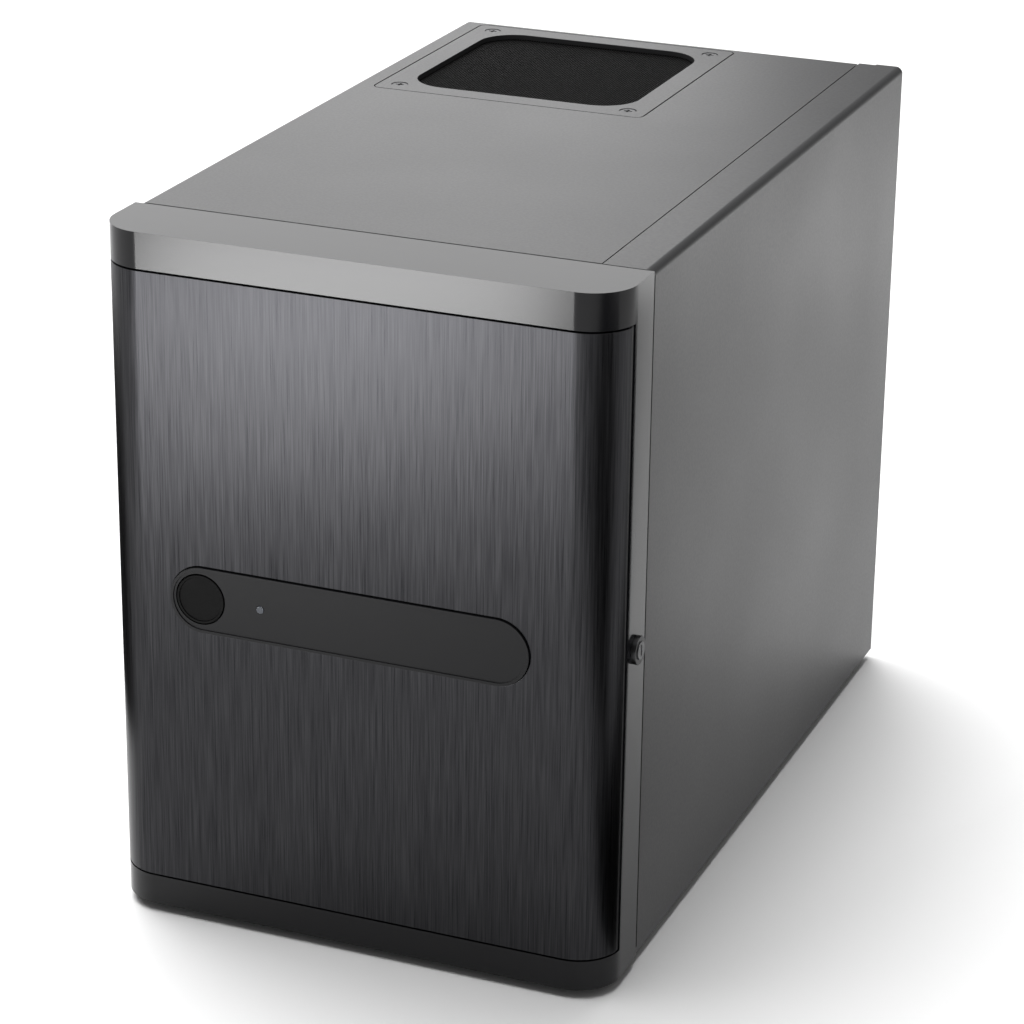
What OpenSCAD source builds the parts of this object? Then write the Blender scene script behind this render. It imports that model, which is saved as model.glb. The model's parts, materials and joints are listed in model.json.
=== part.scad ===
// Compact computer tower: steel chassis, moulded front bezel with a hinged aluminium door,
// eight hot-swap drive trays, a small main board, power supply and cooling fans.
// X runs to the right as seen from the front, Y to the rear, Z up.
// The origin is on the ground under the middle of the tower.

/* [Tower] */
// Width over the front bezel
tower_w = 211; // [205:1:230]
// Height from the ground to the top
tower_h = 285; // [285:1:300]
// Distance from the door's front face to the rear panel
tower_d = 356; // [356:1:400]
// Thickness of the steel sheet
sheet_t = 1.2; // [0.8:0.1:1.2]
// Height of the rubber feet below the chassis
foot_h = 4; // [3:0.5:5]

/* [Front] */
// Depth of the front bezel
bezel_d = 34.4; // [33:0.1:38]
// Radius of the bezel's and the door's upright corners
corner_r = 18; // [16:1:20]
// Height of the bezel's top cap
top_cap_h = 14.4; // [12:0.1:16]
// Height of the bezel's bottom cap
bottom_cap_h = 12.4; // [10:0.1:14]
// Thickness of the door's aluminium skin
skin_t = 1.5; // [1:0.1:2]
// Length of the badge plate
badge_l = 149; // [140:1:155]
// Height of the badge plate
badge_h = 27; // [25:1:28]
// Height of the badge plate's centre
badge_z = 140.5; // [130:0.5:150]
// Radius of the power button
button_r = 10; // [8:0.5:10]
// Travel of the power button
button_travel = 1.5; // [1:0.1:1.5]

/* [Drives] */
// Distance between neighbouring drive trays
tray_pitch = 30.8; // [30.8:0.1:31]
// Width of a drive
drive_w = 101.6; // [100:0.1:101.6]
// Height of a drive
drive_h = 26.1; // [20:0.1:26.1]
// Length of a drive
drive_l = 147; // [140:1:147]

/* [Cooling] */
// Number of blades of a large fan
blade_count = 7; // [5:1:9]
// Outer size of the top filter's frame
filter_w = 122.6; // [121:0.1:122.6]
// Hole spacing of a 120 mm fan
fan_pitch = 105; // [105:0.5:105.5]

/* [Hidden] */
tray_count = 8;
$fn = 96;

// Outer faces of the chassis
half_w = tower_w / 2;                 // bezel's side faces
side_x = half_w - 0.8;                // chassis side faces
front_y = -180;
rear_y = front_y + tower_d;           // rear panel's outer face
seam_y = front_y + bezel_d;           // back edge of the bezel
chassis_y = seam_y + 0.7;             // front face of the chassis, behind the seam
rear_in_y = rear_y - sheet_t;
base_z = foot_h;
pan_z = base_z + sheet_t;             // underside of the base pan
cover_z = tower_h - 0.4;              // top face of the top cover
frame_z = cover_z - sheet_t;          // top edge of the front and rear plates

// Door and its hinge
door_z0 = base_z + bottom_cap_h + 0.6;
door_z1 = tower_h - top_cap_h - 0.6;
well_z0 = base_z + bottom_cap_h;
well_z1 = tower_h - top_cap_h;
strip_y = front_y + 16.2;             // front edge of the bezel's side strips
door_back_y = strip_y - 0.6;
pocket_y = front_y + 4.6;             // inner face of the door's front wall
hinge_x = -half_w + 3;
hinge_y = strip_y + 0.8;
knuckle_r = 3;
pin_r = 1.5;

// Badge, button and lock
badge_x = -1.7;
button_x = -63.5;
button_z = badge_z + 0.3;
switch_y = chassis_y - 4;             // front of the switch that the button presses
led_x = -38;
lock_y = front_y + 25;
lock_z = 139.5;
lock_r = 4.8;

// Drive cage
cage_x0 = -50;
cage_x1 = 66;
cage_z0 = 16.4;
cage_y1 = 28;
cage_mid_x = (cage_x0 + cage_x1) / 2;
tray_w = cage_x1 - cage_x0 - 2 * sheet_t - 1.2;
tray_z0 = cage_z0 + sheet_t + 1.2;
tray_face_h = 30;
tray_y0 = chassis_y - 1.1;
cage_z1 = tray_z0 + (tray_count - 1) * tray_pitch + tray_face_h + 1.2;
drive_y0 = tray_y0 + 9;
plug_y = drive_y0 + drive_l + 0.3;

// Fans: outer size, bore radius, hub radius and depth of each kind
fan_120 = [120, 57.5, 20, 25];
fan_92 = [92, 43.5, 17, 15];
fan_80 = [80, 38, 15, 15];
side_fan_y = -68;
side_fan_z = [79, 207];
rear_fan_x = -36;
rear_fan_z = 138;
vent_x = -33.5;
vent_y = rear_in_y - filter_w / 2 - 1.4;

// Main board and power supply
board_x = 89;
board_t = 1.6;
board_y0 = rear_in_y - 171.8;
board_z0 = 37;
board_w = 170;
board_tray_x = 96;
cpu_y = 90;
cpu_z = 120;
psu_lo = [-96.5, rear_in_y - 100, 215];
psu_size = [125, 99.9, 63.5];
psu_mid_x = psu_lo.x + psu_size.x / 2;
psu_mid_y = psu_lo.y + psu_size.y / 2;
psu_top = psu_lo.z + psu_size.z;
inlet_x = 8;
socket_z = psu_lo.z + 31;
rocker_x = -22;
rocker_r = 9;
slot_z = [45.5, 25.2];
shield_z = [52, 210.75];
shield_x = [45, 89.45];
thumb_z = [40, 145, 250];
thumb_x = side_x - 5.4;

steel = [0.36, 0.36, 0.37];
raw_steel = [0.62, 0.63, 0.65];
black = [0.06, 0.06, 0.065];
pcb_green = [0.05, 0.17, 0.11];

// ---------- shared shapes ----------

// A rectangular block between two corners given as [low, high] pairs
module block(x, y, z)
    translate([x[0], y[0], z[0]]) cube([x[1] - x[0], y[1] - y[0], z[1] - z[0]]);

// A cylinder along X or Y, starting at its low end
module rod_x(r, x, y, z)
    translate([x[0], y, z]) rotate([0, 90, 0]) cylinder(r = r, h = x[1] - x[0]);
module rod_y(r, x, y, z)
    translate([x, y[1], z]) rotate([90, 0, 0]) cylinder(r = r, h = y[1] - y[0]);

// A flat shape in X and Z, thickened along Y
module plate_y(y)
    translate([0, y[1], 0]) rotate([90, 0, 0]) linear_extrude(y[1] - y[0]) children();

// A square with round corners, centred
module round_square(w, r) {
    square([w - 2 * r, w], center = true);
    square([w, w - 2 * r], center = true);
    for (sx = [-1, 1], sy = [-1, 1]) translate([sx, sy] * (w / 2 - r)) circle(r);
}

// A pill, centred
module pill(l, h) {
    square([l - h, h], center = true);
    for (s = [-1, 1]) translate([s * (l - h) / 2, 0]) circle(h / 2);
}

// The bezel's outline from above, with round front corners, shrunk by inset and cut off at back_y
module front_plan(inset, back_y) {
    w = half_w - inset;
    r = corner_r - inset;
    y = front_y + inset;
    intersection() {
        union() {
            translate([-w + r, y]) square([2 * (w - r), 2 * bezel_d]);
            translate([-w, y + r]) square([2 * w, 2 * bezel_d]);
            for (s = [-1, 1]) translate([s * (w - r), y + r]) circle(r);
        }
        translate([-w, y]) square([2 * w, back_y - y]);
    }
}

// The bezel's outline extruded between two heights
module front_block(inset, back_y, z)
    translate([0, 0, z[0]]) linear_extrude(z[1] - z[0]) front_plan(inset, back_y);

// Ring-shaped vent slots of a fan guard, along +Z, held together by four spokes
module guard_slots(r_out, t)
    difference() {
        for (r = [14 : 11 : r_out - 6]) difference() {
            cylinder(r = min(r + 8.5, r_out), h = t);
            translate([0, 0, -1]) cylinder(r = r, h = t + 2);
        }
        for (a = [45, 135]) rotate([0, 0, a])
            translate([0, 0, t / 2]) cube([2.4 * r_out, 5, t + 2], center = true);
    }

// A fan's frame along +Z, with its motor seat and four struts at the top
module fan_frame(f, pitch) {
    seat_t = 4;
    difference() {
        linear_extrude(f[3]) round_square(f[0], 5);
        translate([0, 0, -1]) cylinder(r = f[1], h = f[3] + 2);
        for (sx = [-1, 1], sy = [-1, 1]) translate([sx * pitch / 2, sy * pitch / 2, -1])
            cylinder(r = 2.1, h = f[3] + 2);
    }
    difference() {
        translate([0, 0, f[3] - seat_t]) union() {
            cylinder(r = f[2], h = seat_t);
            intersection() {
                cylinder(r = f[1] + 0.5, h = seat_t);
                for (a = [0, 90]) rotate([0, 0, a])
                    translate([0, 0, seat_t / 2]) cube([3 * f[1], 5, seat_t], center = true);
            }
        }
        translate([0, 0, f[3] - seat_t - 1]) cylinder(r = 1.55, h = seat_t);
    }
}

// A fan's rotor along +Z: hub, pitched blades and the shaft that runs in the frame's seat
module fan_rotor(f, count) {
    hub_h = f[3] - 6;
    translate([0, 0, 1]) cylinder(r = f[2] - 0.5, h = hub_h);
    translate([0, 0, 1]) cylinder(r = 1.5, h = hub_h + 3);
    intersection() {
        translate([0, 0, 1.5]) difference() {
            cylinder(r = f[1] - 1.5, h = hub_h - 1);
            translate([0, 0, -1]) cylinder(r = f[2] - 1.5, h = hub_h + 1);
        }
        for (k = [0 : count - 1]) rotate([0, 0, k * 360 / count])
            translate([f[1] / 2, 0, f[3] / 2 - 2]) rotate([38, 0, 0])
                cube([f[1] + 6, 1.6, 3 * f[3]], center = true);
    }
}

// ---------- chassis ----------

module base_pan()
    color(steel) difference() {
        block([-side_x + sheet_t, side_x - sheet_t - 0.2], [chassis_y, rear_in_y],
              [pan_z, pan_z + sheet_t]);
        for (x = [-60 : 24 : 60]) block([x - 6, x + 6], [65, 125], [0, 20]);
    }

module feet()
    color(black) for (x = [-78, 78], y = [front_y + 62, rear_y - 28]) translate([x, y, 0]) {
        cylinder(r = 11, h = base_z);
        cylinder(r = 8, h = pan_z);
    }

module top_left_cover() {
    bend_r = 3;
    edge_x = side_x - 20.4;
    recess_w = filter_w + 1.2;
    recess_z = cover_z - 4;
    color(steel) difference() {
        union() {
            difference() {
                block([-side_x, edge_x], [chassis_y, rear_y], [base_z, cover_z]);
                block([-side_x + sheet_t, edge_x + 1], [chassis_y - 1, rear_y + 1],
                      [pan_z, cover_z - sheet_t]);
                block([-side_x + 15, edge_x + 1], [chassis_y - 1, rear_y + 1], [0, pan_z + 1]);
                translate([-side_x, chassis_y - 1, cover_z - bend_r]) difference() {
                    block([-1, bend_r], [0, tower_d], [0, bend_r + 1]);
                    rod_y(bend_r, bend_r, [-1, tower_d + 1], 0);
                }
            }
            // Joggled lip that runs under the side panel's flange
            block([edge_x - 6, edge_x - 0.6], [chassis_y + sheet_t, rear_in_y],
                  [frame_z - sheet_t, frame_z]);
            block([edge_x - 1.8, side_x - 6], [chassis_y + sheet_t, rear_in_y],
                  [frame_z - 2 * sheet_t, frame_z - sheet_t]);
            // Recess for the filter
            translate([vent_x, vent_y, recess_z - sheet_t])
                linear_extrude(4) square(recess_w + 2 * 0.8, center = true);
            // Rear hem over the rear panel's edge
            block([-side_x, -side_x + 7.5], [rear_y, rear_y + sheet_t], [pan_z + 2, cover_z - 4]);
        }
        translate([vent_x, vent_y, recess_z]) linear_extrude(9) round_square(recess_w, 4);
        translate([vent_x, vent_y, 0]) cylinder(r = 55, h = 400);
        for (sx = [-1, 1], sy = [-1, 1])
            translate([vent_x + sx * fan_pitch / 2, vent_y + sy * fan_pitch / 2, 200])
                cylinder(r = 1.8, h = 100);
        for (z = side_fan_z) translate([-side_x - 1, side_fan_y, z]) rotate([0, 90, 0]) {
            guard_slots(54, 4);
            for (sx = [-1, 1], sy = [-1, 1]) translate([sx * fan_pitch / 2, sy * fan_pitch / 2, 0])
                cylinder(r = 1.8, h = 4);
        }
    }
}

module rear_panel()
    color(steel) difference() {
        block([-side_x + sheet_t, side_x - sheet_t - 0.2], [rear_in_y, rear_y],
              [pan_z + sheet_t, frame_z]);
        translate([rear_fan_x, rear_in_y - 1, rear_fan_z]) rotate([-90, 0, 0]) {
            guard_slots(56, 4);
            for (sx = [-1, 1], sy = [-1, 1]) translate([sx * fan_pitch / 2, sy * fan_pitch / 2, 0])
                cylinder(r = 1.8, h = 4);
        }
        block(shield_x, [rear_in_y - 1, rear_y + 1], shield_z);
        for (z = slot_z) block([2, 90], [rear_in_y - 1, rear_y + 1], [z - 6.3, z + 6.3]);
        block([psu_lo.x + 6, psu_lo.x + 119], [rear_in_y - 1, rear_y + 1],
              [psu_lo.z + 6, psu_top - 6]);
        for (x = [psu_lo.x + 3, psu_lo.x + 122], z = [psu_lo.z + 3, psu_top - 3])
            rod_y(1.8, x, [rear_in_y - 1, rear_y + 1], z);
        for (z = thumb_z) rod_y(2, thumb_x, [rear_in_y - 1, rear_y + 1], z);
    }

module front_plate()
    color(steel) difference() {
        block([-side_x + sheet_t, side_x - sheet_t - 0.2], [chassis_y, chassis_y + sheet_t],
              [pan_z + sheet_t, frame_z]);
        block([cage_x0 + sheet_t, cage_x1 - sheet_t], [chassis_y - 1, chassis_y + 3],
              [cage_z0 + sheet_t, cage_z1 - sheet_t]);
    }

module motherboard_tray()
    color(steel) difference() {
        union() {
            block([board_tray_x, board_tray_x + sheet_t], [cage_y1 - 26, rear_in_y], [30, 212]);
            // Tabs that screw to the rear panel
            for (z = [56, 212 - sheet_t])
                block([board_tray_x - 5, board_tray_x], [rear_in_y - sheet_t, rear_in_y],
                      [z, z + sheet_t]);
        }
        // Window behind the processor for the cooler's back plate
        block([board_tray_x - 1, board_tray_x + 3], [cpu_y - 34, cpu_y + 34],
              [cpu_z - 34, cpu_z + 34]);
    }

module chassis_screws() {
    // A pan-head screw along +Y with its head at y
    module screw_y(x, y, z) {
        rod_y(3.1, x, [y, y + 1.8], z);
        rod_y(1.7, x, [y - 5, y], z);
    }
    color(raw_steel) {
        for (sx = [-1, 1], sz = [-1, 1])
            screw_y(rear_fan_x + sx * fan_pitch / 2, rear_y, rear_fan_z + sz * fan_pitch / 2);
        for (x = [psu_lo.x + 3, psu_lo.x + 122], z = [psu_lo.z + 3, psu_top - 3])
            screw_y(x, rear_y, z);
        for (c = side_fan_z, sy = [-1, 1], sz = [-1, 1])
            translate([0, side_fan_y + sy * fan_pitch / 2, c + sz * fan_pitch / 2]) {
                rod_x(3.1, [-side_x - 0.8, -side_x], 0, 0);
                rod_x(1.7, [-side_x, -side_x + 6], 0, 0);
            }
        // Stand-offs between the main board and its tray
        for (y = [board_y0 + 8, board_y0 + 162], z = [board_z0 + 6, board_z0 + 163])
            rod_x(2.8, [board_x + board_t, board_tray_x], y, z);
    }
}

module side_panel_right() {
    bend_r = 3;
    inner_z = tower_h - sheet_t;
    lo_z = base_z + 0.1;
    color(steel) difference() {
        block([side_x - 19.5, side_x], [chassis_y, rear_y + 0.2 + sheet_t], [lo_z, tower_h]);
        block([side_x - 20, side_x - sheet_t], [chassis_y - 1, rear_y + 0.2],
              [lo_z + 0.9, inner_z]);
        block([side_x - 20, side_x - 12], [chassis_y - 1, rear_y + 9], [0, inner_z]);
        block([side_x - 20, side_x - 12], [rear_y, rear_y + 9], [0, tower_h + 1]);
        translate([side_x - bend_r, chassis_y - 1, tower_h - bend_r]) difference() {
            block([0, bend_r + 1], [0, tower_d], [0, bend_r + 1]);
            rod_y(bend_r, 0, [-1, tower_d + 1], 0);
        }
        for (z = thumb_z) rod_y(2.3, thumb_x, [rear_y - 1, rear_y + 9], z);
    }
}

module thumbscrews() {
    head_y = rear_y + 0.2 + sheet_t;
    color(black) for (z = thumb_z) {
        rod_y(1.9, thumb_x, [rear_in_y - 3, head_y], z);
        difference() {
            rod_y(3.7, thumb_x, [head_y, head_y + 3.6], z);
            block([thumb_x - 0.6, thumb_x + 0.6], [head_y + 2.6, head_y + 5], [z - 6, z + 6]);
        }
    }
}

// ---------- front bezel, lock and door ----------

module front_bezel() {
    wall = 3;
    lip_in = 2.4;
    inner_x = half_w - wall;
    color(black) difference() {
        union() {
            front_block(0, seam_y, [base_z, tower_h]);
            // Set-back lip that leaves a dark seam before the chassis
            front_block(lip_in, chassis_y, [base_z + lip_in, tower_h - lip_in]);
        }
        // Well for the door, and the passage behind it
        block([-half_w - 1, half_w + 1], [front_y - 1, strip_y], [well_z0, well_z1]);
        block([-inner_x, inner_x], [strip_y - 1, chassis_y + 1], [well_z0 + 2.4, well_z1 - 2.4]);
        // Hollow backs of the two caps
        for (z = [[well_z1 + 2.4, tower_h - 4], [base_z + 4, well_z0 - 2.4]])
            block([-inner_x + 6, inner_x - 6], [front_y + wall, chassis_y + 1], z);
        // Room for the hinge knuckle, the two pin bores and the lock
        translate([hinge_x, hinge_y, well_z0]) {
            cylinder(r = knuckle_r + 0.9, h = well_z1 - well_z0);
            translate([0, 0, -6]) cylinder(r = pin_r + 0.05, h = well_z1 - well_z0 + 12);
        }
        rod_x(lock_r, [inner_x - 1, half_w + 1], lock_y, lock_z);
    }
}

module lock_housing()
    color(raw_steel) difference() {
        union() {
            rod_x(lock_r, [half_w - 10, half_w], lock_y, lock_z);
            rod_x(5.6, [half_w, half_w + 1.9], lock_y, lock_z);
            translate([half_w - 6, lock_y, lock_z]) rotate([0, 90, 0]) cylinder(r = 7, h = 3, $fn = 6);
        }
        rod_x(3.6, [half_w - 12, half_w + 3], lock_y, lock_z);
    }

module lock_barrel() {
    cam_x = [half_w - 13, half_w - 11.4];
    cam_l = 9.5;
    color(raw_steel) difference() {
        union() {
            rod_x(3.55, [cam_x[0], half_w + 2.3], lock_y, lock_z);
            // Cam: a flat lever that points forward when open, down when locked
            block(cam_x, [lock_y - cam_l, lock_y], [lock_z - 3, lock_z + 3]);
            rod_x(3, cam_x, lock_y - cam_l, lock_z);
            rod_x(5, cam_x, lock_y, lock_z);
        }
        // Keyhole
        block([half_w - 4, half_w + 3], [lock_y - 0.5, lock_y + 0.5], [lock_z - 2.2, lock_z + 2.2]);
    }
}

module door_skin()
    color([0.16, 0.16, 0.17]) difference() {
        front_block(0, door_back_y - 1.6, [door_z0, door_z1]);
        front_block(skin_t, door_back_y + 5, [door_z0 - 1, door_z1 + 1]);
        // The skin stops short of the hinge knuckle
        block([-half_w - 1, -half_w + 5], [hinge_y - 5.6, hinge_y + 5], [door_z0 - 1, door_z1 + 1]);
        plate_y([front_y - 1, front_y + 5]) translate([badge_x, badge_z])
            pill(badge_l + 0.4, badge_h + 0.4);
    }

module door_frame() {
    back = door_back_y;
    boss_y = pocket_y + 4.5;
    color(black) difference() {
        union() {
            difference() {
                union() {
                    front_block(skin_t + 0.1, back, [door_z0, door_z1]);
                    // Edge that shows behind the skin on the free side
                    intersection() {
                        front_block(0.5, back, [door_z0, door_z1]);
                        block([0, half_w], [back - 1.4, back], [door_z0, door_z1]);
                    }
                }
                block([-96, 96], [pocket_y, back + 1], [door_z0 + 5, door_z1 - 5]);
                block([-half_w - 1, hinge_x], [hinge_y - 4, back + 1], [door_z0 - 1, door_z1 + 1]);
            }
            translate([hinge_x, hinge_y, door_z0]) cylinder(r = knuckle_r, h = door_z1 - door_z0);
            block([hinge_x, hinge_x + 7], [hinge_y - 5.4, hinge_y - 1.5], [door_z0, door_z1]);
            // Guide of the power button
            rod_y(14, button_x, [pocket_y - 1, boss_y + 1.6], button_z);
        }
        rod_y(12, button_x, [front_y, boss_y], button_z);
        rod_y(3.3, button_x, [front_y, boss_y + 5], button_z);
        rod_y(1.6, led_x, [front_y, boss_y], button_z);
        translate([hinge_x, hinge_y, door_z0 - 1]) cylinder(r = pin_r, h = 13);
        translate([hinge_x, hinge_y, door_z1 - 12]) cylinder(r = pin_r, h = 13);
    }
}

module door_badge()
    color(black) difference() {
        union() {
            plate_y([front_y - 0.5, front_y + 1.55]) translate([badge_x, badge_z])
                pill(badge_l, badge_h);
            plate_y([front_y - 1, front_y - 0.5]) translate([badge_x, badge_z]) difference() {
                pill(badge_l, badge_h);
                pill(badge_l - 2.4, badge_h - 2.4);
            }
        }
        rod_y(button_r + 0.5, button_x, [front_y - 3, front_y + 3], button_z);
        rod_y(1.6, led_x, [front_y - 3, front_y + 3], button_z);
    }

module door_led_lens()
    color([0.5, 0.55, 0.6]) rod_y(1.55, led_x, [front_y - 0.8, front_y + 4.4], button_z);

// Two hinge pins, and the hook that the lock's cam catches
module door_hardware() {
    hook_x = 88.5;
    hook_y = lock_y + 5.5;
    hook_z = [lock_z - 16, lock_z - 7];
    color(raw_steel) {
        for (z = [door_z0 - 4, door_z1 - 10])
            translate([hinge_x, hinge_y, z]) cylinder(r = pin_r, h = 14);
        block([hook_x, hook_x + 3], [pocket_y, hook_y], hook_z);
        block([hook_x, hook_x + 7], [hook_y - 2, hook_y], hook_z);
    }
}

module power_button() {
    flange_y = front_y + 1.7;
    stem_end = switch_y - button_travel - 0.2;
    color(black) {
        difference() {
            rod_y(button_r, button_x, [front_y - 0.7, flange_y + 1], button_z);
            // Dished front face
            translate([button_x, front_y - 60.2, button_z]) rotate([-90, 0, 0])
                cylinder(r = button_r - 1, h = 60);
        }
        rod_y(11.5, button_x, [flange_y, flange_y + 1.4], button_z);
        rod_y(3, button_x, [flange_y + 1, stem_end], button_z);
    }
}

module switch_board()
    color(pcb_green) {
        block([button_x - 11, button_x + 11], [chassis_y - 1.6, chassis_y],
              [button_z - 24, button_z + 14]);
        block([button_x - 4, button_x + 4], [chassis_y - 3.2, chassis_y - 1.6],
              [button_z - 4, button_z + 4]);
        rod_y(1.8, button_x, [switch_y, chassis_y - 1.6], button_z);
    }

// ---------- drives ----------

module drive_cage() {
    y0 = chassis_y + sheet_t;
    weld_gap = 0.05;
    color(raw_steel) difference() {
        union() {
            // Sides that stand on the base pan, with a separate floor and roof between them
            for (x = [cage_x0, cage_x1 - sheet_t])
                block([x, x + sheet_t], [y0, cage_y1], [pan_z + sheet_t, cage_z1]);
            for (z = [cage_z0, cage_z1 - sheet_t])
                block([cage_x0 + sheet_t + weld_gap, cage_x1 - sheet_t - weld_gap],
                      [y0, cage_y1], [z, z + sheet_t]);
            // Ledges that carry the trays' rails
            for (k = [0 : tray_count - 1], x = [cage_x0 + sheet_t, cage_x1 - sheet_t - 3])
                translate([0, 0, tray_z0 + k * tray_pitch])
                    block([x, x + 3], [tray_y0 + 8.4, plug_y - 1], [-1.1, -0.1]);
        }
        for (k = [0 : tray_count - 1], y = [-126 : 50 : 0])
            block([cage_x0 - 1, cage_x1 + 1], [y, y + 42],
                  [tray_z0 + k * tray_pitch + 13, tray_z0 + k * tray_pitch + 26]);
    }
}

// Tray k, counted from 1 at the bottom: front grip, floor and side rails
module tray(k) {
    z = tray_z0 + (k - 1) * tray_pitch;
    x0 = cage_mid_x - tray_w / 2;
    x1 = cage_mid_x + tray_w / 2;
    rail_y1 = drive_y0 + drive_l - 6;
    color([0.12, 0.12, 0.13]) difference() {
        union() {
            block([x0, x1], [tray_y0, tray_y0 + 8], [z, z + tray_face_h]);
            for (x = [x0, x1 - 4.6]) block([x, x + 4.6], [tray_y0 + 8, rail_y1], [z, z + 12]);
            block([x0, x1], [tray_y0 + 8, rail_y1], [z, z + 1.4]);
        }
        // Scooped grip and the release lever's outline
        block([x0 + 14, x1 - 34], [tray_y0 - 1, tray_y0 + 3], [z + 4, z + tray_face_h - 4]);
        block([x1 - 30, x1 - 28.6], [tray_y0 - 1, tray_y0 + 1.5], [z + 2, z + tray_face_h - 2]);
        block([x1 - 22, x1 - 8], [tray_y0 - 1, tray_y0 + 1.2], [z + 10, z + tray_face_h - 10]);
        // Air gaps in the floor
        for (y = [-112, -68, -24]) block([x0 + 16, x1 - 16], [y, y + 28], [z - 1, z + 3]);
    }
}

// Drive k: a closed casting with its circuit board underneath
module drive(k) {
    z = tray_z0 + (k - 1) * tray_pitch + 1.5;
    color(raw_steel) difference() {
        block([cage_mid_x - drive_w / 2, cage_mid_x + drive_w / 2], [drive_y0, drive_y0 + drive_l],
              [z, z + drive_h]);
        block([cage_mid_x - 44, cage_mid_x + 44], [drive_y0 + drive_l - 4, drive_y0 + drive_l + 1],
              [z - 1, z + 3]);
    }
}

module backplane()
    color(pcb_green) difference() {
        union() {
            block([cage_x0 + 3, cage_x1 - 3], [cage_y1, cage_y1 + 1.6], [cage_z0 + 2, cage_z1 - 2]);
            for (k = [0 : tray_count - 1])
                block([cage_mid_x - 22, cage_mid_x + 22], [plug_y, cage_y1],
                      [tray_z0 + k * tray_pitch + 5, tray_z0 + k * tray_pitch + 13]);
        }
        for (k = [0 : tray_count - 1], s = [-1, 1])
            translate([cage_mid_x + s * 38, cage_y1, tray_z0 + k * tray_pitch])
                block([-12, 12], [-1, 3], [6, 24]);
    }

// ---------- main board ----------

module motherboard()
    color(pcb_green) {
        x = board_x;
        block([x, x + board_t], [board_y0, board_y0 + board_w], [board_z0, board_z0 + board_w]);
        // Processor socket, expansion slot, two memory slots, power and data connectors
        block([x - 3, x], [cpu_y - 24, cpu_y + 24], [cpu_z - 24, cpu_z + 24]);
        block([x - 11, x], [40, 129], [slot_z[0] - 3.7, slot_z[0] + 3.7]);
        for (z = [189, 198]) block([x - 8, x], [cage_y1 + 2, cage_y1 + 120], [z - 3, z + 3]);
        block([x - 12, x], [9, 18], [120, 172]);
        block([x - 14, x], [8, 24], [66, 100]);
        block([x - 10, x], [140, 148], [140, 164]);
        block([x - 5, x], [50, 74], [56, 70]);
    }

module cpu_heatsink()
    color([0.7, 0.7, 0.72]) {
        block([board_x - 9, board_x - 3], [cpu_y - 38, cpu_y + 38], [cpu_z - 38, cpu_z + 38]);
        for (k = [0 : 12]) block([board_x - 32, board_x - 9], [cpu_y - 44, cpu_y + 44],
                                 [cpu_z - 43.2 + 7 * k, cpu_z - 40.8 + 7 * k]);
        block([board_x - 15, board_x - 9], [cpu_y - 44, cpu_y + 44], [cpu_z - 43, cpu_z + 43]);
    }

// The processor's fan blows towards the heat sink, its motor seat on the far side
module place_cpu_fan()
    translate([board_x - 32 - fan_92[3], cpu_y, cpu_z]) rotate([0, -90, 0]) mirror([0, 0, 1])
        children();
module cpu_fan_frame() color(black) place_cpu_fan() fan_frame(fan_92, 82.5);
module cpu_fan_rotor() color(black) place_cpu_fan() fan_rotor(fan_92, blade_count);

module memory_modules()
    color(pcb_green) for (z = [189, 198]) {
        block([board_x - 38, board_x - 8], [cage_y1 + 3, cage_y1 + 119], [z - 0.6, z + 0.6]);
        for (k = [0 : 7]) translate([board_x, cage_y1 + 8 + 13.5 * k, z])
            block([-30, -16], [0, 10], [0.6, 1.8]);
    }

// Rear connectors: centre height, width, height off the board
network_port = [150, 16, 13.5];
usb_stacks = [[127, 13.4, 15.6], [107, 13.4, 15.6]];
video_port = [85, 15, 6];
audio_port = [62.75, 12.9, 26];

module rear_io_ports() {
    port_y = [rear_in_y - 18, rear_y + 0.4];
    color(raw_steel) {
        // Network jack with its open mouth
        translate([0, 0, network_port[0]]) difference() {
            block([board_x - network_port[2], board_x], port_y, [-8, 8]);
            block([board_x - 11.5, board_x - 3.5], [rear_y - 11, rear_y + 2], [-5.9, 5.9]);
        }
        // Two stacks of two flat data ports, each with a tongue
        for (p = usb_stacks) translate([0, 0, p[0]]) difference() {
            block([board_x - p[2], board_x], port_y, [-p[1] / 2, p[1] / 2]);
            for (x = [board_x - 1.6, board_x - 9]) difference() {
                block([x - 5.1, x], [rear_y - 8, rear_y + 2], [-6.1, 6.1]);
                block([x - 4, x - 2.2], [rear_y - 9, rear_y - 0.5], [-5.4, 5.4]);
            }
        }
        // Flat video socket and two round audio jacks
        translate([0, 0, video_port[0]]) difference() {
            block([board_x - video_port[2], board_x], port_y, [-7.5, 7.5]);
            block([board_x - 5, board_x - 1.2], [rear_y - 8, rear_y + 2], [-6.8, 6.8]);
        }
        translate([0, 0, audio_port[0]]) difference() {
            block([board_x - audio_port[2], board_x], port_y, [-6.45, 6.45]);
            for (x = [6, 18]) rod_y(1.8, board_x - x, [rear_y - 12, rear_y + 2], 0);
        }
    }
}

module io_shield()
    color(raw_steel) difference() {
        block([shield_x[0] + 0.2, shield_x[1] - 0.2], [rear_in_y + 0.1, rear_in_y + 0.8],
              [shield_z[0] + 0.2, shield_z[1] - 0.2]);
        for (p = concat([network_port, video_port, audio_port], usb_stacks))
            block([board_x - p[2] - 0.2, board_x + 0.2], [rear_in_y - 1, rear_y],
                  [p[0] - p[1] / 2 - 0.2, p[0] + p[1] / 2 + 0.2]);
    }

module expansion_covers()
    color(raw_steel) for (z = slot_z) difference() {
        union() {
            block([-8, 94], [rear_in_y - 0.9, rear_in_y], [z - 9, z + 9]);
            block([-8, -7.1], [rear_in_y - 12, rear_in_y], [z - 9, z + 9]);
        }
        for (x = [10 : 15 : 70]) block([x, x + 10], [rear_in_y - 2, rear_in_y + 1], [z - 2, z + 2]);
    }

// ---------- power supply ----------

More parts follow.
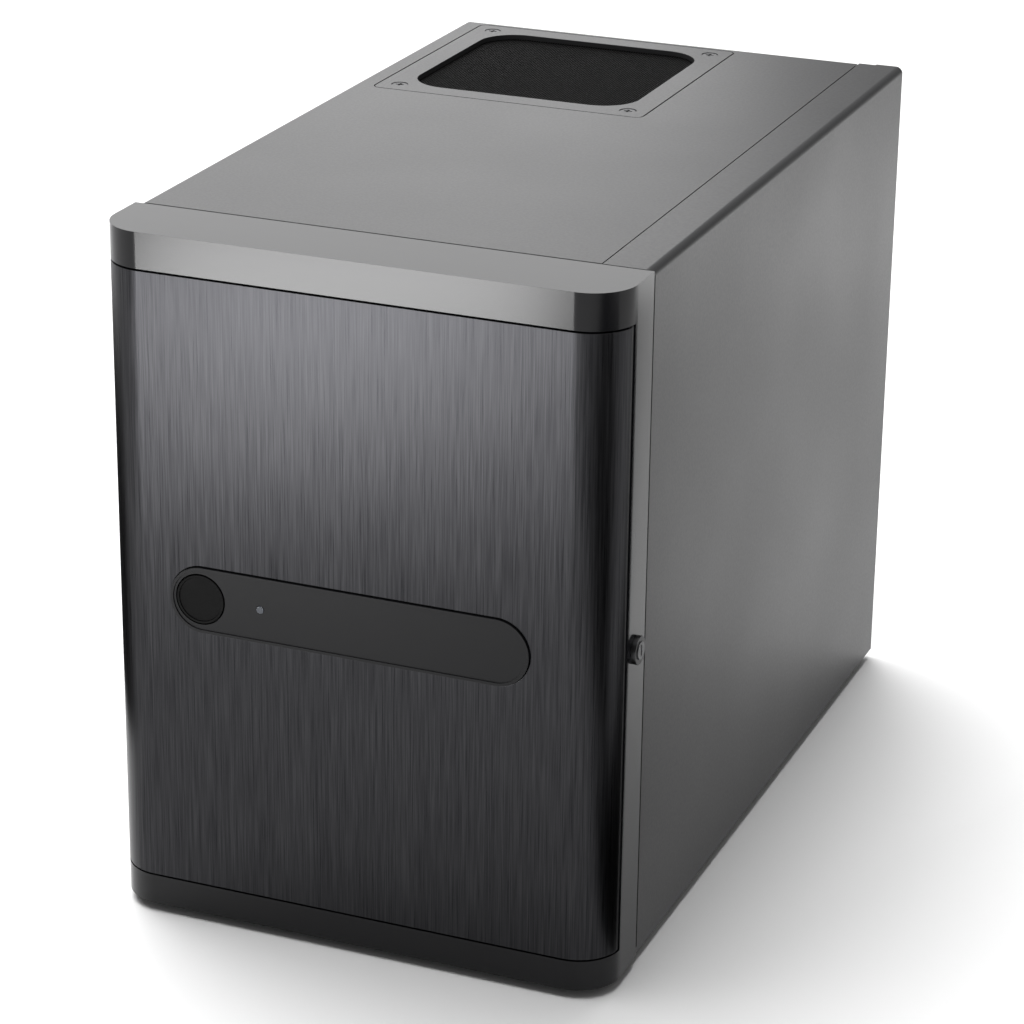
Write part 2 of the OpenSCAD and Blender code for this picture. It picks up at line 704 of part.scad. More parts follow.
module psu_case()
    color([0.2, 0.2, 0.21]) difference() {
        translate(psu_lo) cube(psu_size);
        translate(psu_lo + [1, 1, 1]) cube(psu_size - [2, 2, 2]);
        translate([psu_mid_x, psu_mid_y, psu_top - 3]) cylinder(r = 38, h = 9);
        block([inlet_x - 14, inlet_x + 14], [rear_in_y - 3, rear_y],
              [socket_z - 10.5, socket_z + 10.5]);
        block([rocker_x - 7, rocker_x + 7], [rear_in_y - 3, rear_y], [socket_z - 10, socket_z + 10]);
        for (x = [12 : 8 : 44])
            block([psu_lo.x + x, psu_lo.x + x + 4], [rear_in_y - 3, rear_y],
                  [psu_lo.z + 14, psu_top - 14]);
        for (x = [psu_lo.x + 3, psu_lo.x + 122], z = [psu_lo.z + 3, psu_top - 3])
            rod_y(1.8, x, [rear_in_y - 3, rear_y], z);
    }

module psu_fan_grille()
    color(raw_steel) translate([psu_mid_x, psu_mid_y, psu_top]) {
        for (r = [10 : 7 : 38]) difference() {
            cylinder(r = r + 1.2, h = 1.2);
            translate([0, 0, -1]) cylinder(r = r, h = 4);
        }
        for (a = [45, 135]) rotate([0, 0, a]) translate([0, 0, 0.6]) cube([84, 2, 1.2], center = true);
        // Motor seat of the fan hangs from the grille
        difference() {
            translate([0, 0, -3]) cylinder(r = 12, h = 4);
            translate([0, 0, -4]) cylinder(r = 1.55, h = 3.5);
        }
    }

module psu_fan_rotor()
    color(black) translate([psu_mid_x, psu_mid_y, psu_top - 3.4 - fan_80[3]]) {
        translate([0, 0, 5]) cylinder(r = fan_80[2], h = fan_80[3] - 5.5);
        translate([0, 0, 5]) cylinder(r = 1.5, h = fan_80[3] - 2.3);
        intersection() {
            translate([0, 0, 5]) cylinder(r = fan_80[1] - 2, h = fan_80[3] - 6);
            for (k = [0 : blade_count - 1]) rotate([0, 0, k * 360 / blade_count])
                translate([fan_80[1] / 2, 0, fan_80[3] / 2]) rotate([38, 0, 0])
                    cube([fan_80[1], 1.4, 40], center = true);
        }
    }

module psu_inlet()
    color(black) difference() {
        block([inlet_x - 13.9, inlet_x + 13.9], [rear_in_y - 20, rear_in_y + 0.6],
              [socket_z - 10.4, socket_z + 10.4]);
        difference() {
            block([inlet_x - 12, inlet_x + 12], [rear_in_y - 16, rear_y + 2],
                  [socket_z - 8.2, socket_z + 8.2]);
            for (p = [[-7, 1.5], [0, 5], [7, 1.5]])
                block([inlet_x + p[0] - 1, inlet_x + p[0] + 1], [rear_in_y - 17, rear_in_y - 4],
                      [socket_z + p[1] - 2, socket_z + p[1] + 2]);
        }
    }

module psu_switch() {
    pivot_y = rear_in_y - 5.6;
    color(black) difference() {
        rod_x(rocker_r, [rocker_x - 6.4, rocker_x + 6.4], pivot_y, socket_z);
        for (s = [-1, 1])
            translate([rocker_x, pivot_y + rocker_r, socket_z]) rotate([s * 14, 0, 0])
                block([-8, 8], [-1.4, 6], s > 0 ? [0, 20] : [-20, 0]);
    }
}

// ---------- filters and fans ----------

module top_filter_frame()
    color(steel) translate([vent_x, vent_y, cover_z - 2.2]) difference() {
        linear_extrude(2.2) round_square(filter_w, 3);
        translate([0, 0, -1]) linear_extrude(5) round_square(filter_w - 21, 17);
        for (sx = [-1, 1], sy = [-1, 1]) translate([sx * fan_pitch / 2, sy * fan_pitch / 2, -1]) {
            cylinder(r = 1.9, h = 5);
            translate([0, 0, 1.6]) cylinder(r = 3.6, h = 5);
        }
    }

module top_filter_mesh()
    color([0.02, 0.02, 0.02]) translate([vent_x, vent_y, cover_z - 2.8])
        linear_extrude(0.6) difference() {
            round_square(114, 6);
            for (sx = [-1, 1], sy = [-1, 1]) translate([sx, sy] * fan_pitch / 2) circle(4);
        }

module top_filter_screws()
    color(raw_steel) for (sx = [-1, 1], sy = [-1, 1])
        translate([vent_x + sx * fan_pitch / 2, vent_y + sy * fan_pitch / 2, 0]) difference() {
            union() {
                translate([0, 0, cover_z - 1.6]) cylinder(r = 3.4, h = 1.4);
                translate([0, 0, psu_top + 0.8]) cylinder(r = 1.7, h = cover_z - 1.6 - psu_top - 0.8);
            }
            for (a = [0, 90]) translate([0, 0, cover_z]) rotate([0, 0, a])
                cube([3.6, 0.9, 1.4], center = true);
        }

// Pull-off filter in front of a side fan, with its fine mesh
module side_filter(z)
    color(black) translate([-side_x - 1.5, side_fan_y, z]) rotate([0, 90, 0]) {
        difference() {
            linear_extrude(1.5) round_square(126, 5);
            translate([0, 0, -1]) linear_extrude(4) round_square(114, 4);
        }
        translate([0, 0, 0.1]) linear_extrude(0.4) round_square(115, 4);
    }
module side_filter_upper() side_filter(side_fan_z[1]);
module side_filter_lower() side_filter(side_fan_z[0]);

module place_side_fan(z)
    translate([-side_x + sheet_t, side_fan_y, z]) rotate([0, 90, 0]) children();
module side_fan_frames()
    color(black) for (z = side_fan_z) place_side_fan(z) fan_frame(fan_120, fan_pitch);
module side_fan_rotor_upper()
    color(black) place_side_fan(side_fan_z[1]) fan_rotor(fan_120, blade_count);
module side_fan_rotor_lower()
    color(black) place_side_fan(side_fan_z[0]) fan_rotor(fan_120, blade_count);

module place_rear_fan()
    translate([rear_fan_x, rear_in_y - fan_120[3], rear_fan_z]) rotate([-90, 0, 0]) children();
module rear_fan_frame() color(black) place_rear_fan() fan_frame(fan_120, fan_pitch);
module rear_fan_rotor() color(black) place_rear_fan() fan_rotor(fan_120, blade_count);

// ---------- nodes ----------

base_pan();
feet();
top_left_cover();
rear_panel();
front_plate();
motherboard_tray();
front_bezel();
drive_cage();
backplane();
motherboard();
cpu_heatsink();
cpu_fan_frame();
cpu_fan_rotor();
memory_modules();
rear_io_ports();
io_shield();
expansion_covers();
psu_case();
psu_fan_rotor();
psu_fan_grille();
psu_inlet();
psu_switch();
top_filter_frame();
top_filter_mesh();
top_filter_screws();
side_fan_frames();
side_fan_rotor_upper();
side_fan_rotor_lower();
side_filter_upper();
side_filter_lower();
rear_fan_frame();
rear_fan_rotor();
switch_board();
lock_housing();
lock_barrel();
chassis_screws();
side_panel_right();
thumbscrews();
door_skin();
door_frame();
door_badge();
door_led_lens();
door_hardware();
power_button();
for (k = [1 : tray_count]) {
    tray(k);
    drive(k);
}
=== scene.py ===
import json
import math

import bmesh
import bpy
from mathutils import Matrix, Vector


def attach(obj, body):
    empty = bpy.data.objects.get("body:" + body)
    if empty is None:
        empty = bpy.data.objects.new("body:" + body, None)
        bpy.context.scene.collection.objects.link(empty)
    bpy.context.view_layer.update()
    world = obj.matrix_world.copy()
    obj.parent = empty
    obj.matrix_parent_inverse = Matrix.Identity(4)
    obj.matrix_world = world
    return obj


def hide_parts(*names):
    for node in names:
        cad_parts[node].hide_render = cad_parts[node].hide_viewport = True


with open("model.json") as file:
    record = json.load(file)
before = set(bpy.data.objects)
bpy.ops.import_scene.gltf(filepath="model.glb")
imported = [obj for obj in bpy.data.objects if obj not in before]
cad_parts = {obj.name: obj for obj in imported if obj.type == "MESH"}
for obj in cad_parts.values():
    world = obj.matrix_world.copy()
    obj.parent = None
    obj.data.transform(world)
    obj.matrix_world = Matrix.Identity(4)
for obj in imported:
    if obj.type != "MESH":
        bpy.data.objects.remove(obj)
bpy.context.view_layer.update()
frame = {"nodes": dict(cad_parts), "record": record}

scene = bpy.context.scene
BODY_OF = {n: body for body, names in frame["record"]["behaviour"]["bodies"].items() for n in names}

# Sizes of the CAD part that the added details sit on, in mm
MM = 0.001
SHARP_ANGLE = math.radians(40)
TRAYS = [f"tray_{k}" for k in range(1, 9)]
DRIVES = [f"drive_{k}" for k in range(1, 9)]
TRAY_X = (-48.2, 64.2)
TRAY_FACE_Y = -146.0
TRAY_Z0 = 18.8
TRAY_PITCH = 30.8
TOP_FILTER_CENTRE = (-33.5, 112.1)
TOP_MESH_Z = 282.1
SIDE_FILTER_Y = -68
SIDE_FILTER_Z = {"side_filter_upper": 207, "side_filter_lower": 79}
SIDE_FILTER_FACE_X = -106.2
SCREW_HALF_PITCH = 52.5
REAR_FAN_CENTRE = (-36, 138)
PSU_SCREWS_X = (-93.5, 25.5)
PSU_SCREWS_Z = (218, 275.5)
REAR_SCREW_HEAD_Y = 177.8
SIDE_SCREW_HEAD_X = -105.5
SEAM_Y = -145.55
CHASSIS_TOP_Z = 284.6
CHASSIS_SIDE_X = 104.7


# ---------- shader building blocks ----------

def new_material(name, base, roughness, metallic=0.0, **sockets):
    """A Principled material; every uniform value goes on the shader's own socket."""
    mat = bpy.data.materials.new(name)
    mat.use_nodes = True
    shader = mat.node_tree.nodes["Principled BSDF"]
    shader.inputs["Base Color"].default_value = (*base, 1.0)
    shader.inputs["Roughness"].default_value = roughness
    shader.inputs["Metallic"].default_value = metallic
    for key, value in sockets.items():
        shader.inputs[key.replace("_", " ")].default_value = value
    return mat


def add_noise(mat, scale, stretch=(1, 1, 1), detail=3.0):
    """A noise over the part's own coordinates, in features per metre."""
    tree = mat.node_tree
    coords = tree.nodes.new("ShaderNodeTexCoord")
    mapping = tree.nodes.new("ShaderNodeMapping")
    mapping.inputs["Scale"].default_value = stretch
    tex = tree.nodes.new("ShaderNodeTexNoise")
    tex.inputs["Scale"].default_value = scale
    tex.inputs["Detail"].default_value = detail
    tree.links.new(coords.outputs["Object"], mapping.inputs["Vector"])
    tree.links.new(mapping.outputs["Vector"], tex.inputs["Vector"])
    return tex.outputs["Fac"]


def spread(mat, value, low, high, start=0.3, end=0.7):
    """value from start to end, mapped to low to high."""
    node = mat.node_tree.nodes.new("ShaderNodeMapRange")
    node.inputs["From Min"].default_value = start
    node.inputs["From Max"].default_value = end
    node.inputs["To Min"].default_value = low
    node.inputs["To Max"].default_value = high
    mat.node_tree.links.new(value, node.inputs["Value"])
    return node.outputs["Result"]


def mix_values(mat, a, b, share=0.5):
    node = mat.node_tree.nodes.new("ShaderNodeMix")
    node.data_type = "FLOAT"
    node.inputs[0].default_value = share
    mat.node_tree.links.new(a, node.inputs[2])
    mat.node_tree.links.new(b, node.inputs[3])
    return node.outputs[0]


def mix_colours(mat, value, a, b):
    """Colour a where value is 0 and b where it is 1."""
    node = mat.node_tree.nodes.new("ShaderNodeMix")
    node.data_type = "RGBA"
    mat.node_tree.links.new(value, node.inputs[0])
    node.inputs[6].default_value = (*a, 1.0)
    node.inputs[7].default_value = (*b, 1.0)
    return node.outputs[2]


def drive(mat, socket, value):
    mat.node_tree.links.new(value, mat.node_tree.nodes["Principled BSDF"].inputs[socket])


def add_bump(mat, height, strength, distance):
    node = mat.node_tree.nodes.new("ShaderNodeBump")
    node.inputs["Strength"].default_value = strength
    node.inputs["Distance"].default_value = distance
    mat.node_tree.links.new(height, node.inputs["Height"])
    drive(mat, "Normal", node.outputs["Normal"])


# ---------- materials ----------

def brushed_anodised(name, dark, light):
    """Aluminium brushed along Z and dyed dark: long fine streaks in tone, gloss and relief."""
    mat = new_material(name, dark, 0.3, 1.0, Anisotropic=0.5)
    fine = add_noise(mat, 1.0, (1900, 1900, 36), 4)
    broad = add_noise(mat, 1.0, (650, 650, 9), 3)
    streaks = mix_values(mat, fine, broad, 0.3)
    drive(mat, "Base Color", mix_colours(mat, spread(mat, streaks, 0, 1, 0.36, 0.64), dark, light))
    drive(mat, "Roughness", spread(mat, streaks, 0.26, 0.34))
    add_bump(mat, streaks, 0.1, 0.00003)
    tangent = mat.node_tree.nodes.new("ShaderNodeTangent")
    tangent.direction_type = "RADIAL"
    tangent.axis = "Z"
    drive(mat, "Tangent", tangent.outputs["Tangent"])
    return mat


def powder_coat(name, base, roughness=0.42, grain=900, relief=0.00006, level=0.33):
    """Fine-textured paint on sheet steel, a little uneven in tone and gloss."""
    mat = new_material(name, base, roughness, 0.0, Specular_IOR_Level=level)
    fine = add_noise(mat, grain, detail=2)
    cloudy = add_noise(mat, 9, detail=2)
    darker = [c * 0.93 for c in base]
    lighter = [c * 1.06 for c in base]
    drive(mat, "Base Color", mix_colours(mat, spread(mat, cloudy, 0, 1), darker, lighter))
    both = mix_values(mat, fine, cloudy)
    drive(mat, "Roughness", spread(mat, both, roughness - 0.05, roughness + 0.05))
    add_bump(mat, fine, 0.35, relief)
    return mat


def moulded(name, base, roughness, grain=1400, relief=0.00004, level=0.5, uneven=0.15):
    """Injection-moulded plastic with an eroded texture."""
    mat = new_material(name, base, roughness, 0.0, Specular_IOR_Level=level)
    fine = add_noise(mat, grain, detail=2)
    drive(mat, "Roughness", spread(mat, fine, roughness * (1 - uneven), roughness * (1 + uneven)))
    darker = [c * 0.9 for c in base]
    lighter = [c * 1.12 for c in base]
    drive(mat, "Base Color", mix_colours(mat, add_noise(mat, 30), darker, lighter))
    add_bump(mat, fine, 0.3, relief)
    return mat


def metal(name, base, roughness, stretch=(60, 60, 60), relief=0.00002):
    """Rolled or plated metal with faint directional marks."""
    mat = new_material(name, base, roughness, 1.0)
    marks = add_noise(mat, 1.0, stretch, 4)
    drive(mat, "Roughness", spread(mat, marks, roughness - 0.04, roughness + 0.05))
    drive(mat, "Base Color", mix_colours(mat, spread(mat, marks, 0, 1), [c * 0.95 for c in base], base))
    add_bump(mat, marks, 0.1, relief)
    return mat


def circuit_board(name):
    """Green solder mask with raised tracks and plated pads."""
    mat = new_material(name, (0.01, 0.06, 0.03), 0.35, 0.0, Coat_Weight=0.4, Coat_Roughness=0.2)
    tree = mat.node_tree
    coords = tree.nodes.new("ShaderNodeTexCoord")
    cells = tree.nodes.new("ShaderNodeTexVoronoi")
    cells.distance = "MANHATTAN"
    cells.feature = "F1"
    cells.inputs["Scale"].default_value = 260
    tree.links.new(coords.outputs["Object"], cells.inputs["Vector"])
    tracks = spread(mat, cells.outputs["Distance"], 0, 1, 0.3, 0.5)
    drive(mat, "Base Color", mix_colours(mat, tracks, (0.008, 0.045, 0.024), (0.02, 0.105, 0.05)))
    drive(mat, "Roughness", spread(mat, add_noise(mat, 200), 0.28, 0.42))
    add_bump(mat, tracks, 0.25, 0.00005)
    return mat


MATERIALS = {
    "brushed": brushed_anodised("brushed_anodised", (0.019, 0.019, 0.0207), (0.039, 0.039, 0.0415)),
    "paint": powder_coat("satin_paint", (0.034, 0.034, 0.035), 0.36),
    "gloss": moulded("gloss_black", (0.006, 0.006, 0.007), 0.15, grain=2500, relief=0.000002,
                     level=0.25, uneven=0.08),
    "badge": moulded("badge_black", (0.007, 0.007, 0.008), 0.36, level=0.17),
    "button": moulded("button_black", (0.003, 0.003, 0.003), 0.5, level=0.08),
    "plastic": moulded("matt_black", (0.02, 0.02, 0.021), 0.5),
    "tray": moulded("tray_black", (0.03, 0.03, 0.032), 0.45),
    "rubber": moulded("foot_rubber", (0.02, 0.02, 0.02), 0.75, grain=500, relief=0.0001),
    # near-black for the filter threads, and also the painted shade of the seam strips and reflection
    # cards
    "mesh": moulded("filter_thread_and_shade", (0.004, 0.004, 0.004), 0.6, level=0.05),
    "zinc": metal("zinc_sheet", (0.45, 0.46, 0.47), 0.4, (40, 900, 40)),
    "aluminium": metal("extruded_aluminium", (0.75, 0.75, 0.77), 0.32, (50, 700, 50)),
    "casting": metal("cast_drive", (0.34, 0.35, 0.36), 0.45, (400, 400, 400), 0.00006),
    "plated": metal("plated_metal", (0.5, 0.51, 0.52), 0.3, (1200, 1200, 1200), 0.000004),
    "screw": metal("screw_metal", (0.45, 0.45, 0.46), 0.35, (500, 500, 500)),
    "black_screw": metal("black_screw", (0.06, 0.06, 0.062), 0.35, (500, 500, 500)),
    "dark_screw": metal("dark_screw", (0.14, 0.14, 0.145), 0.3, (500, 500, 500)),
    "psu": powder_coat("psu_paint", (0.018, 0.018, 0.02), 0.5),
    "board": circuit_board("circuit_board"),
    # black plastic for chips and levers, and also the painted shade of the screw recesses
    "black_and_shade": moulded("black_and_shade_plastic", (0.015, 0.015, 0.016), 0.4),
    "lens": new_material("lens", (0.09, 0.1, 0.12), 0.12, 0.0, Transmission_Weight=0.3),
}
LENS_NOISE = add_noise(MATERIALS["lens"], 900)
drive(MATERIALS["lens"], "Roughness", spread(MATERIALS["lens"], LENS_NOISE, 0.08, 0.2))

# node: (material, width in mm of its rounded edges; None keeps the CAD mesh)
FINISH = {
    "door_skin": ("brushed", 0.35), "door_frame": ("plastic", 0.4), "door_badge": ("badge", 0.22),
    "power_button": ("button", 0.45), "door_led_lens": ("lens", 0.3),
    "door_hardware": ("dark_screw", 0.3),
    "front_bezel": ("gloss", 0.4), "lock_housing": ("black_screw", 0.3),
    "lock_barrel": ("dark_screw", 0.15), "top_left_cover": ("paint", 0.3),
    "side_panel_right": ("paint", 0.35), "rear_panel": ("paint", 0.2),
    "top_filter_frame": ("paint", 0.5), "top_filter_screws": ("black_screw", 0.2),
    "side_filter_upper": ("plastic", 0.35), "side_filter_lower": ("plastic", 0.35),
    "thumbscrews": ("black_screw", 0.5), "feet": ("rubber", 0.8), "base_pan": ("zinc", 0.2),
    "front_plate": ("zinc", 0.2), "motherboard_tray": ("zinc", 0.2), "drive_cage": ("zinc", None),
    "backplane": ("board", None), "motherboard": ("board", None), "memory_modules": ("board", None),
    "switch_board": ("board", None), "cpu_heatsink": ("aluminium", 0.15),
    "cpu_fan_frame": ("plastic", 0.3), "cpu_fan_rotor": ("plastic", 0.15),
    "psu_fan_rotor": ("plastic", 0.15), "side_fan_rotor_upper": ("plastic", 0.2),
    "side_fan_rotor_lower": ("plastic", 0.2), "rear_fan_rotor": ("plastic", 0.2),
    "side_fan_frames": ("plastic", 0.3), "rear_fan_frame": ("plastic", 0.3),
    "rear_io_ports": ("plated", 0.2), "io_shield": ("plated", 0.1), "expansion_covers": ("zinc", 0.15),
    "psu_case": ("psu", 0.3), "psu_fan_grille": ("plated", 0.25), "psu_inlet": ("plastic", 0.3),
    "psu_switch": ("plastic", 0.3), "chassis_screws": ("screw", 0.35),
    **{n: ("tray", 0.35) for n in TRAYS},
    **{n: ("casting", 0.6) for n in DRIVES},
}


# ---------- pieces ----------

def finished_mesh(node):
    """A node's mesh with its facets merged to flat faces."""
    bm = bmesh.new()
    bm.from_mesh(frame["nodes"][node].data)
    bmesh.ops.remove_doubles(bm, verts=bm.verts, dist=0.002 * MM)
    bmesh.ops.dissolve_limit(bm, angle_limit=math.radians(1), verts=bm.verts, edges=bm.edges)
    mesh = bpy.data.meshes.new(node + "_finish")
    bm.to_mesh(mesh)
    bm.free()
    if "custom_normal" in mesh.attributes:
        mesh.attributes.remove(mesh.attributes["custom_normal"])
    mesh.materials.clear()
    return mesh


def add_piece(name, mesh, material, body):
    """A new object of that mesh that rides on a body, with the material slot of a node."""
    piece = bpy.data.objects.new(name, mesh)
    scene.collection.objects.link(piece)
    mesh.materials.append(MATERIALS[material])
    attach(piece, body)
    return piece


def apply_modifier(piece, kind, **settings):
    modifier = piece.modifiers.new(kind.lower(), kind)
    for key, value in settings.items():
        setattr(modifier, key, value)
    bpy.context.view_layer.objects.active = piece
    bpy.ops.object.modifier_apply(modifier=modifier.name)


def round_edges(piece, width):
    """Rounds a piece's sharp edges for good."""
    apply_modifier(piece, "BEVEL", limit_method="ANGLE", angle_limit=SHARP_ANGLE, width=width * MM,
                   segments=2, use_clamp_overlap=True)


def smooth_shading(piece):
    """Smooth shading that keeps large faces flat and sharp edges crisp."""
    mesh = piece.data
    mesh.polygons.foreach_set("use_smooth", [True] * len(mesh.polygons))
    mesh.set_sharp_from_angle(angle=SHARP_ANGLE)
    apply_modifier(piece, "WEIGHTED_NORMAL", mode="FACE_AREA", weight=100, keep_sharp=True)


def dress(node, material, width):
    """Gives a node its material, on a copy with rounded edges where a width is given."""
    if width is None:
        mesh = frame["nodes"][node].data
        mesh.materials.clear()
        mesh.materials.append(MATERIALS[material])
        return
    piece = add_piece(node + "_finish", finished_mesh(node), material, BODY_OF[node])
    round_edges(piece, width)
    smooth_shading(piece)
    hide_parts(node)


# Corners of a box's six faces, in the order that boxes_mesh makes the corners
BOX_FACES = ((0, 1, 3, 2), (4, 6, 7, 5), (0, 4, 5, 1), (2, 3, 7, 6), (0, 2, 6, 4), (1, 5, 7, 3))


def boxes_mesh(name, boxes):
    """One mesh of axis-aligned boxes, each given as three (low, high) pairs in mm."""
    verts, faces = [], []
    for xs, ys, zs in boxes:
        n = len(verts)
        verts += [(x * MM, y * MM, z * MM) for x in xs for y in ys for z in zs]
        faces += [[n + i for i in quad] for quad in BOX_FACES]
    mesh = bpy.data.meshes.new(name)
    mesh.from_pydata(verts, [], faces)
    return mesh


def weave(centre, half, pitch, width):
    """Threads of a square mesh as (u, v) spans, first those along u, then those along v."""
    count = int(half / pitch)
    spots = [k * pitch for k in range(-count, count + 1)]
    u, v = centre
    along_u = [((u - half, u + half), (v + c - width / 2, v + c + width / 2)) for c in spots]
    along_v = [((u + c - width / 2, u + c + width / 2), (v - half, v + half)) for c in spots]
    return along_u, along_v


def top_mesh():
    """Woven threads of the top filter, between its frame and the cover."""
    along_x, along_y = weave(TOP_FILTER_CENTRE, 51.6, 1.15, 0.4)
    under, over = (TOP_MESH_Z - 0.25, TOP_MESH_Z), (TOP_MESH_Z, TOP_MESH_Z + 0.25)
    boxes = [(x, y, under) for x, y in along_x] + [(x, y, over) for x, y in along_y]
    mesh = boxes_mesh("top_filter_weave", boxes)
    piece = add_piece("top_filter_weave", mesh, "mesh", "chassis")
    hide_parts("top_filter_mesh")


def side_meshes():
    """Threads laid over the side filters' membranes."""
    x = (SIDE_FILTER_FACE_X + 0.01, SIDE_FILTER_FACE_X + 0.2)
    for node, centre_z in SIDE_FILTER_Z.items():
        along_y, along_z = weave((SIDE_FILTER_Y, centre_z), 56.8, 1.3, 0.5)
        boxes = [(x, y, z) for y, z in along_y + along_z]
        add_piece(node + "_weave", boxes_mesh(node + "_weave", boxes), "mesh", BODY_OF[node])


def tray_details():
    """Grille bars, lever, catch and two lamps on each tray's front."""
    (x0, x1), y = TRAY_X, TRAY_FACE_Y
    for k, node in enumerate(TRAYS):
        z = TRAY_Z0 + TRAY_PITCH * k
        body = BODY_OF[node]
        bar_starts = [x0 + 15.5 + 3.6 * i for i in range(17)]
        bars = [((x, x + 1.6), (y + 1.9, y + 3.0), (z + 10.2, z + 25.4)) for x in bar_starts]
        add_piece(node + "_grille", boxes_mesh(node + "_grille", bars), "plastic", body)
        handle = ((x0 + 14.6, x1 - 34.6), (y + 0.1, y + 2.9), (z + 4.4, z + 8.8))
        catch = ((x1 - 21.6, x1 - 8.4), (y + 0.1, y + 1.1), (z + 10.4, z + 19.6))
        lever_mesh = boxes_mesh(node + "_lever", [handle, catch])
        lever = add_piece(node + "_lever", lever_mesh, "black_and_shade", body)
        round_edges(lever, 0.4)
        smooth_shading(lever)
        lamps = [((x1 - 5.5, x1 - 3.5), (y - 0.15, y + 0.5), (z + c, z + c + 3.5)) for c in (9.5, 16.5)]
        add_piece(node + "_lamps", boxes_mesh(node + "_lamps", lamps), "lens", body)


def door_ribs():
    """Stiffening ribs on the inside of the door."""
    half = 0.7
    y = (-175.5, -172.2)
    boxes = [((-75, 84), y, (z - half, z + half)) for z in (46, 78, 110, 172, 204, 236)]
    boxes += [((x - half, x + half), y, (23, 264)) for x in (-28, 20, 66)]
    add_piece("door_ribs", boxes_mesh("door_ribs", boxes), "plastic", "door")


def screw_recess_shade():
    """Dark crosses laid on the heads of the chassis screws: painted shade standing in for their cross
    recesses.
    """
    cross = ((0.4, 1.7), (1.7, 0.4))
    corners = (-SCREW_HALF_PITCH, SCREW_HALF_PITCH)
    fan_x, fan_z = REAR_FAN_CENTRE
    rear = [(fan_x + dx, fan_z + dz) for dx in corners for dz in corners]
    rear += [(x, z) for x in PSU_SCREWS_X for z in PSU_SCREWS_Z]
    rear_y = (REAR_SCREW_HEAD_Y - 0.1, REAR_SCREW_HEAD_Y + 0.03)
    boxes = [((x - w, x + w), rear_y, (z - h, z + h)) for x, z in rear for w, h in cross]
    side = [(SIDE_FILTER_Y + dy, z + dz) for dy in corners for z in sorted(SIDE_FILTER_Z.values())
            for dz in corners]
    side_x = (SIDE_SCREW_HEAD_X - 0.03, SIDE_SCREW_HEAD_X + 0.1)
    boxes += [(side_x, (y - w, y + w), (z - h, z + h)) for y, z in side for w, h in cross]
    mesh = boxes_mesh("screw_recess_shade", boxes)
    # black crosses here are painted shade, not a colour of the screws
    add_piece("screw_recess_shade", mesh, "black_and_shade", "chassis")


def seam_shade_strips():
    """Dark strips set into the gap between the bezel and the chassis: painted shade in the seam."""
    side_y = (SEAM_Y, -142.3)
    side_z = (7, 282.5)
    deep, shallow = CHASSIS_SIDE_X - 0.4, CHASSIS_SIDE_X + 0.04
    boxes = [((-102.5, 102.5), (SEAM_Y, -143.5), (CHASSIS_TOP_Z - 0.3, CHASSIS_TOP_Z + 0.04)),
             ((deep, shallow), side_y, side_z), ((-shallow, -deep), side_y, side_z)]
    # the dark strips are painted shade, not a gasket
    add_piece("bezel_seam_shade", boxes_mesh("bezel_seam_shade", boxes), "mesh", "chassis")


for node_name, (material_name, edge) in FINISH.items():
    dress(node_name, material_name, edge)
top_mesh()
side_meshes()
tray_details()
door_ribs()
screw_recess_shade()
seam_shade_strips()


# ---------- studio ----------

def area_light(name, at, target, size, power):
    data = bpy.data.lights.new(name, "AREA")
    data.shape = "RECTANGLE"
    data.size, data.size_y = size
    data.energy = power
    light = bpy.data.objects.new(name, data)
    light.location = at
    light.rotation_mode = "QUATERNION"
    light.rotation_quaternion = (Vector(target) - Vector(at)).to_track_quat("-Z", "Y")
    light.visible_camera = False
    scene.collection.objects.link(light)
    return light


def floor_glow(name, at, size, power, turn):
    """A lit patch of floor, seen only as a mirror image in the tower's dark faces."""
    glow = area_light(name, (*at, 0.004), (0, 0, 1), size, power)
    glow.rotation_mode = "XYZ"
    glow.rotation_euler = (math.pi, 0, math.radians(turn))


def shadow_reflection_card(name, corners):
    """A black sheet lying beside the tower, hidden from the camera, from shadows and from diffuse
    light, seen only as a mirror image in its dark rounded edges: a painted reflection of shade on the
    floor.
    """
    mesh = bpy.data.meshes.new(name)
    mesh.from_pydata([(x, y, 0.002) for x, y in corners], [], [(0, 1, 2, 3)])
    mesh.materials.append(MATERIALS["mesh"])
    card = bpy.data.objects.new(name, mesh)
    card.visible_camera = card.visible_shadow = card.visible_diffuse = False
    scene.collection.objects.link(card)


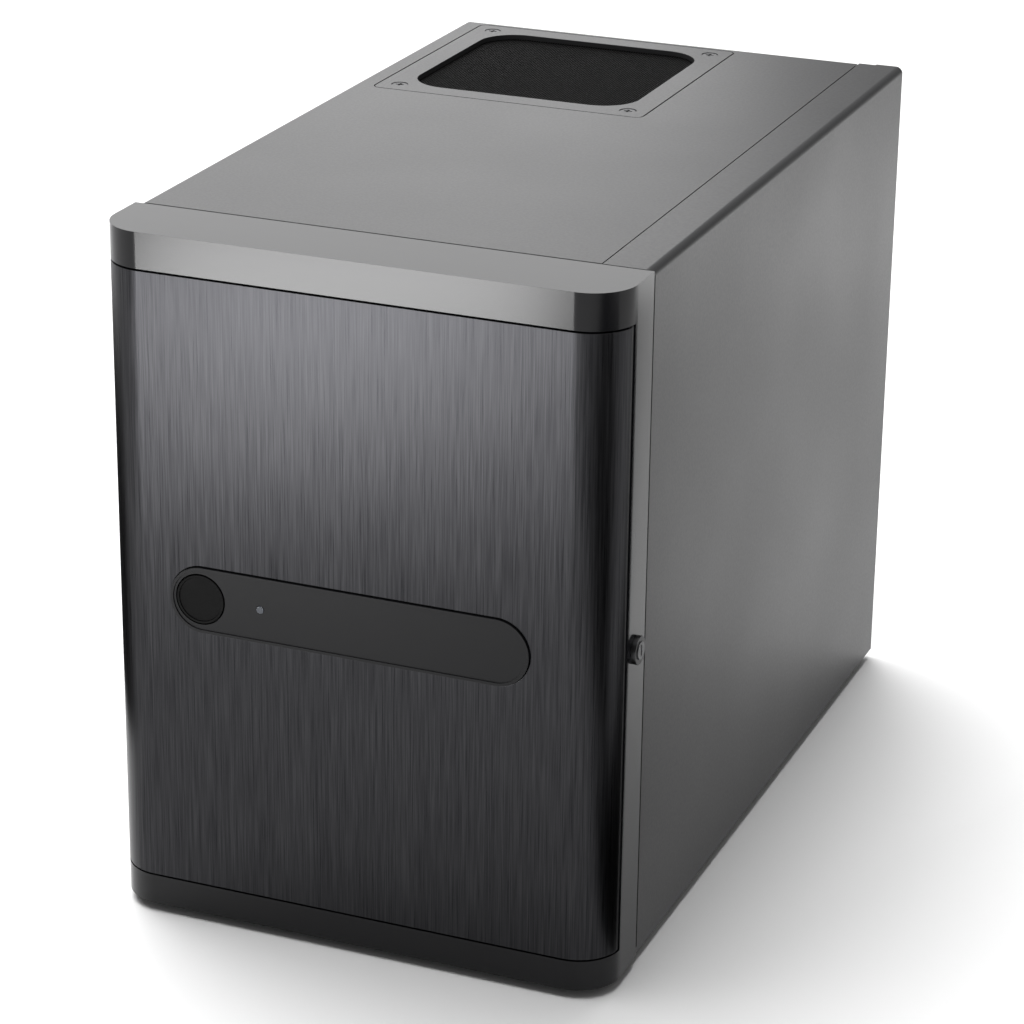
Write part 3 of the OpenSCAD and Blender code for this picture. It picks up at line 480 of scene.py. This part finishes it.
def studio():
    """Plain pale floor, soft overhead light, the bright patches that the dark faces mirror, and black
    sheets that paint shade into those mirror images.
    """
    mesh = bpy.data.meshes.new("floor")
    half = 9.0
    corners = [(-half, -half, 0), (half, -half, 0), (half, half, 0), (-half, half, 0)]
    mesh.from_pydata(corners, [], [(0, 1, 2, 3)])
    floor = bpy.data.objects.new("floor", mesh)
    scene.collection.objects.link(floor)
    mesh.materials.append(new_material("floor_white", (0.9, 0.9, 0.9), 0.6))
    # black sheets seen only in reflections: painted shade of the floor beside the tower
    shadow_reflection_card("shadow_reflection_right", [(0.3, -0.8), (0.95, -0.8), (0.95, -0.2), (0.3, -0.2)])
    shadow_reflection_card("shadow_reflection_strip", [(0.125, -0.15), (0.25, -0.3), (0.6, 0.4), (0.41, 0.64)])
    shadow_reflection_card("shadow_reflection_left", [(-0.8, -0.25), (-0.25, -0.25), (-0.25, 0.35), (-0.8, 0.35)])
    world = bpy.data.worlds.new("studio")
    scene.world = world
    world.use_nodes = True
    background = world.node_tree.nodes["Background"]
    background.inputs["Color"].default_value = (1.0, 1.0, 1.0, 1.0)
    background.inputs["Strength"].default_value = 0.22
    sun = bpy.data.lights.new("sky_sun", "SUN")
    sun.energy = 2.3
    sun.angle = math.radians(50)
    key = bpy.data.objects.new("sky_sun", sun)
    key.rotation_mode = "QUATERNION"
    key.rotation_quaternion = Vector((0.35, -0.45, -1.0)).to_track_quat("-Z", "Y")
    scene.collection.objects.link(key)
    area_light("overhead", (-0.5, -0.15, 2.0), (-0.4, -0.15, 0), (1.9, 2.0), 44)
    bands = [(0.44, 0.62, 0.23, 0.9), (0.62, 0.72, 0.25, 1.75), (0.72, 0.95, 0.28, 5.2)]
    for k, (near, far, width, power) in enumerate(bands):
        away = (near + far) / 2
        at = (-0.464 * away, -0.18 - away)
        floor_glow(f"front_glow_{k}", at, (width, (far - near) * 1.1), power, -24.9)
    area_light("back_panel", (-0.88, 1.4, 0.8), (-0.35, 0, 0.4), (1.0, 0.75), 3.9)
    floor_glow("right_glow", (0.4, 0.85), (0.3, 0.4), 0.3, -17)
    scene.view_settings.view_transform = "Standard"


def camera():
    """The camera at the photograph's viewing angle."""
    azimuth, elevation, roll = (math.radians(a) for a in (21.9, 21.75, 0.72))
    back = Vector((math.sin(azimuth) * math.cos(elevation), -math.cos(azimuth) * math.cos(elevation),
                   math.sin(elevation)))
    data = bpy.data.cameras.new("camera")
    data.lens = 121.0
    data.clip_start = 0.05
    cam = bpy.data.objects.new("camera", data)
    cam.location = (0.501, -1.2646, 0.6639)
    cam.rotation_mode = "QUATERNION"
    turn = (-back).to_track_quat("-Z", "Y").to_matrix() @ Matrix.Rotation(roll, 3, "Z")
    cam.rotation_quaternion = turn.to_quaternion()
    scene.collection.objects.link(cam)
    scene.camera = cam


studio()
camera()
